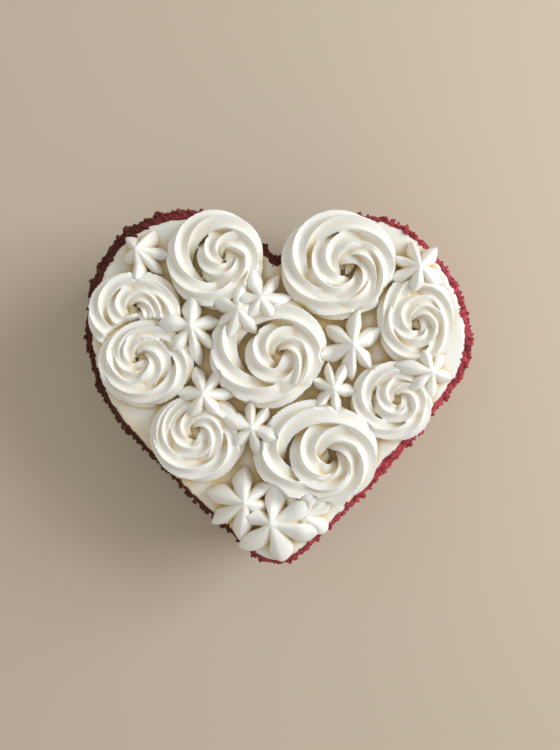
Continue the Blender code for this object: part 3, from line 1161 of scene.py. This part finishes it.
@dataclass(frozen=True)
class Rosette:
    """A swirl piped from its middle outwards, counterclockwise from above.

    The rope rises from a star in the middle, winds out through lead_deg of turning to the ring
    at join_deg, follows the ring for turn_deg and drifts outwards at its tail. The hand turns
    the nozzle a little as it goes round, which is what twist leaves out. The foot, the lead's
    radius and the tail's rope are shares of the size or the rope. What ends in ropes is a length
    in ropes.
    """

    name: str
    x: float
    y: float
    radius_x: float
    radius_y: float
    rope: float
    join_deg: float
    tooth_deg: float
    turn_deg: float
    drift: float
    lead_deg: float = 450.0
    lead_radius: float = 0.36
    foot: float = 0.48
    pit: float = 0.0
    pit_ropes: float = 6.0
    twist: float = 0.85
    valley: float = 0.61
    crest: float = 0.62
    foot_valley: float = 0.42
    foot_crest: float = 1.4
    foot_neck: float = 0.86
    neck_rise: float = 1.4
    leaving_ropes: float = 1.6
    bend_ropes: float = 1.3
    start_height: float = 0.75
    sag: float = 0.8
    rope_sink: float = 0.80
    drift_deg: float = 190.0
    tail_deg: float = 110.0
    tail_rope: float = 0.25
    step_deg: float = 1.2
    step: float = 0.45
    column_points: int = 9

    @property
    def size(self) -> float:
        """The mean radius of the whole swirl."""
        return 0.5 * (self.radius_x + self.radius_y)

    def ring(self) -> np.ndarray:
        """The level route of the rope round the ring.

        Returns:
            Rows of x and y.
        """
        turned = np.arange(0.0, self.turn_deg, self.step_deg)
        tail = smooth_step((turned - self.turn_deg + self.drift_deg) / self.drift_deg)
        away = self.drift * tail - self.rope + self.sag
        radii = np.stack([self.radius_x + away, self.radius_y + away], axis=-1)
        return np.array([self.x, self.y]) + radii * unit(self.join_deg + turned)

    def lead(self, ring: np.ndarray) -> np.ndarray:
        """The route from the start to the ring, which bends less and less.

        Args:
            ring: The route round the ring.

        Returns:
            Rows of x and y, the start first.
        """
        total = math.radians(self.lead_deg)
        length = total * self.lead_radius * self.size
        count = int(length / self.step)
        along = np.diff(ring[:3], axis=0)
        headings = np.arctan2(along[:, 1], along[:, 0])
        at_ring = (headings[1] - headings[0]) % math.tau / np.linalg.norm(along[0])
        at_start = max(at_ring, 2.0 * total / length - at_ring)
        bend = at_ring + (at_start - at_ring) * (np.arange(count) + 0.5) / count
        heading = headings[0] - np.cumsum(bend) * length / count
        back = np.column_stack([np.cos(heading), np.sin(heading)]) * length / count
        return (ring[0] - np.cumsum(back, axis=0))[::-1]

    def path(self) -> bpy.types.Object:
        """The rope's path with what the tree needs at each point.

        Returns:
            A line of points, up from the bed and then along the route.
        """
        ring = self.ring()
        level = np.vstack([self.lead(ring), ring])
        along = np.gradient(level, axis=0)
        heading = np.unwrap(np.arctan2(along[:, 1], along[:, 0]))
        length = lengths_along(level)
        leaving = smooth_step(length / (self.leaving_ropes * self.rope))
        ending = smooth_step((length[-1] - length) / (math.radians(self.tail_deg) * self.size))
        rope = self.rope * (self.tail_rope + (1.0 - self.tail_rope) * ending)
        foot = self.foot * self.size
        height = self.rope_sink * rope * (self.start_height + (1.0 - self.start_height) * leaving)
        height -= self.pit * (1.0 - smooth_step(length / (self.pit_ropes * self.rope)))
        column = np.linspace(0.0, 1.0, self.column_points, endpoint=False)

        def whole(start: float | np.ndarray, rest: np.ndarray) -> np.ndarray:
            """Joins the values in the upright start and along the route."""
            return np.concatenate([np.broadcast_to(start, column.shape), rest])

        def changing(start: float, later: float) -> np.ndarray:
            """A value that the upright start has, and that changes as the rope leaves it."""
            return whole(start, start + (later - start) * leaving)

        xy = np.vstack([np.repeat(level[:1], len(column), axis=0), level])
        z = LAYOUT.piping_base + whole(column * height[0], height)
        line = make_object(self.name, LAYOUT.to_frame(np.column_stack([xy, z])),
                           edges=[(i, i + 1) for i in range(len(z) - 1)])
        neck = smooth_step(column * self.neck_rise)
        swell = foot * (self.foot_neck + (1.0 - self.foot_neck) * neck)
        store(line, "heading", whole(heading[0], heading))
        store(line, "nozzle", whole(0.0, (1.0 - self.twist) * (heading - heading[0])))
        bend = smooth_step(length / (self.bend_ropes * self.rope))
        store(line, "bend", whole(0.0, 0.5 * math.pi * bend))
        store(line, "reach", MM * whole(swell, foot + (rope - foot) * leaving))
        store(line, "valley", changing(self.foot_valley, self.valley))
        store(line, "crest", changing(self.foot_crest, self.crest))
        return line

    def build(self, tree: Modelling, finish: bpy.types.Material) -> bpy.types.Object:
        """Lays the rope and joins it into one skin.

        Args:
            tree: The tree that lays a rope along a path.
            finish: The cream material.

        Returns:
            The rosette, before others press on it.
        """
        rope = self.path()
        tree.run(rope, Tooth_bearing=math.radians(self.tooth_deg), Floor=LAYOUT.piping_foot * MM,
                 Material=finish)
        join_skin(rope, finish)
        return rope


@dataclass(frozen=True)
class Star:
    """A drop of cream from the same nozzle, pulled off with its peak lean_x and lean_y aside.

    Each petal has its own bearing in degrees and its own reach. Between two petals the drop
    narrows by the share in point, and then by the share in notch close to the crease.
    """

    name: str
    x: float
    y: float
    height: float
    lean_x: float
    lean_y: float
    bearings: tuple[float, ...]
    reaches: tuple[float, ...]
    columns: int = 26
    rings: int = 30
    tip: float = 1.5
    point: float = 0.42
    crease: float = 1.0
    notch: float = 0.31
    notch_power: int = 9
    belly: float = 0.10
    foot: float = 0.86
    slope_power: float = 1.45
    peak_power: float = 0.9
    peak_rise: float = 1.02

    def spread(self, t: float) -> float:
        """How far the drop reaches at a share of its height, widest at its belly.

        Args:
            t: The share of its height.

        Returns:
            The share of its greatest reach.
        """
        if t < self.belly:
            return self.foot + (1.0 - self.foot) * math.sin(0.5 * math.pi * t / self.belly)
        above = (t - self.belly) / (1.0 - self.belly)
        return (1.0 - above**self.slope_power) ** self.peak_power

    def points(self) -> np.ndarray:
        """The drop's points ring by ring from foot to peak.

        Returns:
            Rows of x, y and z in layout millimetres, with the foot's middle and the peak last.
        """
        share = np.arange(self.columns) / self.columns
        blend = smooth_step(share)
        bearings = []
        reaches = []
        for tooth in range(TEETH):
            after = (tooth + 1) % TEETH
            between = (self.bearings[after] - self.bearings[tooth]) % 360.0
            bearings.append(self.bearings[tooth] + between * share)
            reaches.append(self.reaches[tooth] * (1 - blend) + self.reaches[after] * blend)
        bearing = np.concatenate(bearings)
        reach = np.concatenate(reaches) + self.tip
        aside = np.tile(2.0 * np.minimum(share, 1.0 - share), TEETH)
        leaf = 1.0 - self.point * aside**self.crease - self.notch * aside**self.notch_power
        middle = np.array([self.x, self.y])
        lean = np.array([self.lean_x, self.lean_y])
        rings = []
        for t in np.linspace(0.0, 1.0, self.rings, endpoint=False):
            radius = reach * self.spread(t) * leaf
            xy = middle + radius[:, None] * unit(bearing) + t**2 * lean
            height = LAYOUT.piping_base + self.height * t if t > 0.0 else LAYOUT.piping_foot
            rings.append(np.column_stack([xy, np.full(len(xy), height)]))
        peak = [*(middle + lean), LAYOUT.piping_base + self.peak_rise * self.height]
        return np.vstack([*rings, [*middle, LAYOUT.piping_foot], peak])

    def build(self, finish: bpy.types.Material) -> bpy.types.Object:
        """Builds the drop as one even skin, before it settles on what lies below.

        Args:
            finish: The cream material.

        Returns:
            The drop.
        """
        drop = closed_shape(self.name, self.points(), TEETH * self.columns)
        join_skin(drop, finish)
        return drop


@dataclass(frozen=True)
class Relief:
    """The smoothed heights of all the piping, near and wide, which tell where shade is painted.

    Each share is how much a kind of painted shade counts, from where it starts over so many
    millimetres: in a groove, below what is near, and below what is wide around.
    """

    near: HeightMap
    wide: HeightMap
    smoothing_rounds: int = 30
    groove_rounds: int = 2
    groove_share: float = 0.45
    groove_over: float = 0.4
    near_share: float = 0.45
    near_start: float = -0.1
    near_over: float = 2.2
    wide_share: float = 0.65
    wide_start: float = 1.6
    wide_over: float = 4.5

    def paint_hollow_shade(self, obj: bpy.types.Object, tint: np.ndarray | float = 0.0) -> None:
        """Stores painted shade for each point, from 0 on crests to 1 in deep gaps where shade falls.

        Args:
            obj: The piece.
            tint: Painted shade added at each point.
        """
        points = points_of(obj)
        normals = np.empty(3 * len(points), np.float32)
        obj.data.vertices.foreach_get("normal", normals)
        joined = Neighbours(obj)
        inside = joined.relaxed(points, self.smoothing_rounds) - points
        groove = np.sum(inside * normals.reshape(-1, 3), axis=1) / MM
        groove = joined.relaxed(groove[:, None], self.groove_rounds)[:, 0]
        below_near = (self.near.at(points) - points[:, 2]) / MM
        below_wide = (self.wide.at(points) - points[:, 2]) / MM
        # Painted shade: grooves and places lying below the piping around them are darkened in colour.
        painted_shade = self.groove_share * smooth_step(groove / self.groove_over)
        painted_shade += self.near_share * smooth_step((below_near - self.near_start) / self.near_over)
        painted_shade += self.wide_share * smooth_step((below_wide - self.wide_start) / self.wide_over)
        store(obj, "hollow_shade", np.clip(painted_shade + tint, 0.0, 1.0))


@dataclass
class Piping:
    """All the rosettes and drop stars, in the order of piping."""

    rosettes: tuple[Rosette, ...] = (
        Rosette("rosette_left", -74.6, 31.4, 24.2, 22.2, 6.5, 130, 31, 410, 2.0,
                lead_deg=600.0, lead_radius=0.44),
        Rosette("rosette_left_lower", -67.9, 6.6, 23.2, 22.0, 6.4, 230, 38, 410, 6.0,
                lead_deg=680.0, lead_radius=0.46, twist=0.9),
        Rosette("rosette_top_left", -32.9, 59.0, 25.4, 25.4, 7.6, 65, 14, 370, 1.0,
                lead_deg=420.0, lead_radius=0.38, foot=0.50),
        Rosette("rosette_top_right", 30.0, 56.2, 29.8, 28.0, 8.0, 0, 7, 380, 1.0,
                lead_deg=660.0, lead_radius=0.45, foot=0.42, twist=0.9),
        Rosette("rosette_right", 70.0, 28.1, 19.8, 24.2, 6.1, 225, 45, 400, 2.0,
                lead_deg=600.0, lead_radius=0.45, foot=0.45, twist=0.8),
        Rosette("rosette_middle", -6.2, 12.0, 30.2, 28.8, 8.3, 40, 20, 360, 1.5,
                lead_deg=470.0, lead_radius=0.40, foot=0.50, twist=0.9),
        Rosette("rosette_lower_left", -41.7, -32.0, 24.0, 22.8, 6.6, 145, 20, 490, 4.0,
                lead_deg=560.0, lead_radius=0.43, twist=0.8),
        Rosette("rosette_right_lower", 58.1, -13.4, 21.8, 20.6, 6.2, 105, 28, 340, 0.5,
                lead_deg=520.0, lead_radius=0.42, foot=0.48, twist=0.8),
        Rosette("rosette_lower_right", 18.4, -40.2, 31.8, 27.4, 8.8, 20, 30, 430, 1.0,
                lead_deg=560.0, lead_radius=0.43, foot=0.36, pit=2.0, twist=0.8),
    )
    stars: tuple[Star, ...] = (
        Star("star_top_left", -70.6, 62.4, 12.0, -2.5, 1.5,
             (-3, 68, 137, 192, 260, 313), (12.4, 12.9, 12.4, 10.8, 13.4, 12.9)),
        Star("star_left", -45.0, 24.6, 15.0, 0.3, 0.0,
             (14, 92, 174, 233, 280, 313), (12.9, 14.4, 15.9, 13.9, 19.5, 14.4)),
        Star("star_notch_left", -21.0, 32.7, 13.0, 0.0, 0.0,
             (2, 81, 164, 216, 251, 308), (12.9, 11.3, 12.4, 12.4, 13.4, 13.4)),
        Star("star_notch_right", -9.7, 38.4, 13.5, 0.0, 0.3,
             (4, 56, 104, 185, 240, 300), (14.4, 14.9, 14.9, 9.8, 9.8, 9.8)),
        Star("star_right", 36.3, 14.8, 14.5, 0.3, 0.5,
             (32, 77, 139, 198, 274, 313), (17.0, 18.0, 15.4, 15.9, 16.5, 14.4)),
        Star("star_right_small", 27.1, -7.2, 13.0, 0.0, 0.0,
             (-7, 65, 99, 155, 227, 280), (10.8, 13.9, 12.9, 10.3, 10.3, 10.3)),
        Star("star_centre_left", -38.4, -9.2, 14.0, 0.0, 0.0,
             (-7, 57, 112, 183, 240, 304), (13.4, 11.9, 13.4, 12.9, 12.4, 11.9)),
        Star("star_centre_low", -14.3, -26.6, 13.5, 0.0, 0.0,
             (-24, 51, 93, 159, 231, 279), (12.9, 11.9, 11.9, 13.9, 11.9, 13.9)),
        Star("star_top_right", 70.1, 54.7, 13.5, 0.0, 0.0,
             (-25, 45, 96, 150, 204, 262), (14.9, 15.4, 13.9, 11.9, 13.4, 11.3)),
        Star("star_right_edge", 76.7, 1.5, 12.5, 0.0, 0.0,
             (-15, 45, 108, 168, 222, 280), (12.4, 11.3, 10.8, 17.5, 11.9, 12.4)),
        Star("star_tip_right", 12.3, -71.6, 11.5, 0.0, 0.0,
             (20, 75, 140, 200, 262, 320), (12.9, 10.8, 10.8, 11.9, 13.9, 14.4),
             point=0.30, crease=1.9, notch=0.42),
        Star("star_tip_left", -19.7, -66.0, 14.0, 1.8, 2.0,
             (-6, 30, 84, 165, 216, 266), (15.4, 18.5, 17.5, 18.5, 18.5, 19.0)),
        Star("star_tip", 0.0, -77.7, 13.0, -4.9, 3.1,
             (-13, 47, 98, 163, 209, 273), (19.0, 18.0, 20.5, 16.5, 23.1, 18.5),
             point=0.40, crease=1.35, notch=0.35),
    )
    settle_rounds: int = 60
    settle_sink: float = 1.0
    settle_squash: float = 0.5
    gap: float = 0.3
    flank: float = 4.0
    flank_cells: int = 2
    least_pressed: float = 0.2
    dent_edge: tuple[float, float] = (0.05, 0.95)
    edge_rounds: int = 3
    dent_rounds: int = 4
    near_rounds: int = 24
    wide_rounds: int = 100

    def build(self, finish: bpy.types.Material) -> tuple[list[tuple[str, bpy.types.Object]], Relief]:
        """Builds every piece and lays each over those before it.

        Args:
            finish: The cream material.

        Returns:
            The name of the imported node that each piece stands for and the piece, and the relief
            of all of them.
        """
        tree = piping_tree()
        pieces: list[tuple[str, bpy.types.Object]] = []
        ground = HeightMap()
        for shape in (*self.rosettes, *self.stars):
            if isinstance(shape, Rosette):
                piece = shape.build(tree, finish)
            else:
                piece = shape.build(finish)
                self.settle_on(piece, shape.height, ground)
            own = HeightMap()
            own.cover(points_of(piece))
            held = own.ceiling(self.gap * MM, self.flank, self.flank_cells)
            for _, earlier in pieces:
                self.press(earlier, held)
            ground.heights = np.maximum(np.minimum(ground.heights, held.heights), own.heights)
            pieces.append((shape.name, piece))
        base = LAYOUT.piping_base * MM
        relief = Relief(ground.blurred(base, self.near_rounds), ground.blurred(base, self.wide_rounds))
        for name, piece in pieces:
            relief.paint_hollow_shade(piece)
            piece.name = f"piped_{name}"
        return pieces, relief

    def settle_on(self, drop: bpy.types.Object, height: float, ground: HeightMap) -> None:
        """Lays a drop over what was piped before, its peak lifted less.

        Args:
            drop: The drop.
            height: How high it stands.
            ground: What was piped before.
        """
        points = points_of(drop)
        base = LAYOUT.piping_base * MM
        below = ground.blurred(base, self.settle_rounds).at(points) - base - self.settle_sink * MM
        risen = np.clip((points[:, 2] - base) / (height * MM), 0.0, 1.0)
        points[:, 2] += np.maximum(below, 0.0) * (1.0 - self.settle_squash * risen)
        move_points(drop, points)

    def press(self, earlier: bpy.types.Object, held: HeightMap) -> None:
        """Presses an earlier piece down under a later one, and softens the dent's edge.

        Args:
            earlier: The earlier piece.
            held: The height that the later one leaves it.
        """
        points = points_of(earlier)
        lowest = (LAYOUT.piping_foot + self.least_pressed) * MM
        limit = np.maximum(held.at(points), lowest)
        under = points[:, 2] > limit
        if not np.any(under):
            return
        points[under, 2] = limit[under]
        near = Neighbours(earlier)
        edge = near.relaxed(under[:, None].astype(float), self.edge_rounds)[:, 0]
        soft = near.relaxed(points, self.dent_rounds)
        at_edge = (edge > self.dent_edge[0]) & (edge < self.dent_edge[1])
        points[at_edge] = soft[at_edge]
        move_points(earlier, points)


# Studio


@dataclass(frozen=True)
class Studio:
    """A plain pale floor, a broad light from the right, and the camera straight above. Metres."""

    camera_height: float = 0.36
    lens: float = 27.0
    sensor: float = 36.0
    floor_half: float = 3.0
    floor_height: float = -0.0004
    floor_colour: Colour = (0.62, 0.53, 0.42)
    floor_roughness: float = 0.8
    window_place: tuple[float, float, float] = (1.10, 0.35, 0.68)
    window_aim: tuple[float, float, float] = (0.0, 0.0, 0.05)
    window_width: float = 0.9
    window_height: float = 0.7
    window_watts: float = 14.2
    window_colour: Colour = (0.96, 0.99, 1.0)
    sky: Colour = (1.0, 0.965, 0.885)
    sky_strength: float = 0.52

    def build(self) -> None:
        """Sets up the floor, the lights and the camera."""
        self.floor()
        self.window()
        self.soft_sky()
        self.camera()

    def floor(self) -> None:
        """Lays the floor."""
        half = self.floor_half
        corners = [(-half, -half), (half, -half), (half, half), (-half, half)]
        points = np.array([(x, y, self.floor_height) for x, y in corners])
        floor = make_object("floor", points, faces=[(0, 1, 2, 3)])
        surface = Surface("floor", self.floor_colour)
        surface.constants({"Base Color": (*self.floor_colour, 1.0), "Roughness": self.floor_roughness})
        floor.data.materials.append(surface.material)

    def window(self) -> None:
        """Places the window light."""
        light = bpy.data.lights.new("window", "AREA")
        light.shape = "RECTANGLE"
        light.size = self.window_width
        light.size_y = self.window_height
        light.energy = self.window_watts
        light.color = self.window_colour
        lamp = bpy.data.objects.new("window", light)
        lamp.location = self.window_place
        towards = Vector(self.window_aim) - lamp.location
        lamp.rotation_mode = "QUATERNION"
        lamp.rotation_quaternion = towards.to_track_quat("-Z", "Y")
        bpy.context.scene.collection.objects.link(lamp)

    def soft_sky(self) -> None:
        """Lights the room evenly from all round."""
        world = bpy.data.worlds.new("sky")
        world.use_nodes = True
        background = world.node_tree.nodes["Background"]
        background.inputs["Color"].default_value = (*self.sky, 1.0)
        background.inputs["Strength"].default_value = self.sky_strength
        bpy.context.scene.world = world
        bpy.context.scene.view_settings.view_transform = "Standard"

    def camera(self) -> None:
        """Hangs the camera straight above the layout's origin."""
        camera = bpy.data.cameras.new("camera")
        camera.lens = self.lens
        camera.sensor_width = self.sensor
        holder = bpy.data.objects.new("camera", camera)
        x, y = (-v * MM for v in LAYOUT.middle)
        holder.location = (x, y, self.camera_height)
        bpy.context.scene.collection.objects.link(holder)
        bpy.context.scene.camera = holder


# Assembly


def hand_over(piece: bpy.types.Object, nodes: Sequence[str] = ()) -> None:
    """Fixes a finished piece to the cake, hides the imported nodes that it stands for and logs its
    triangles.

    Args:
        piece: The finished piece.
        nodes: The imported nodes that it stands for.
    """
    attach(piece, BODY)
    if nodes:
        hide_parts(*nodes)
    triangles = sum(len(p.vertices) - 2 for p in piece.data.polygons)
    LOG.info("%s: %d triangles", piece.name, triangles)


def main() -> None:
    """Builds the cake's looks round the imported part."""
    logging.basicConfig(level=logging.INFO, format="%(message)s")
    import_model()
    crumb = CrumbFinish("red_velvet_crumb").material()
    piped = CreamFinish("piped_cream").material()
    spread = CreamFinish("spread_cream").material()
    coat, *crumbs = CrumbCoat().build(crumb)
    hand_over(coat, ["cake_body"])
    for piece in crumbs:
        hand_over(piece)
    bed, bed_edge_shade = CreamBed().build(spread)
    pieces, relief = Piping().build(piped)
    # Painted shade in the bed's hollows and along its shaded edge.
    relief.paint_hollow_shade(bed, bed_edge_shade)
    hand_over(bed, ["cream_top"])
    for name, piece in pieces:
        hand_over(piece, [name])
    Studio().build()


if __name__ == "__main__":
    main()
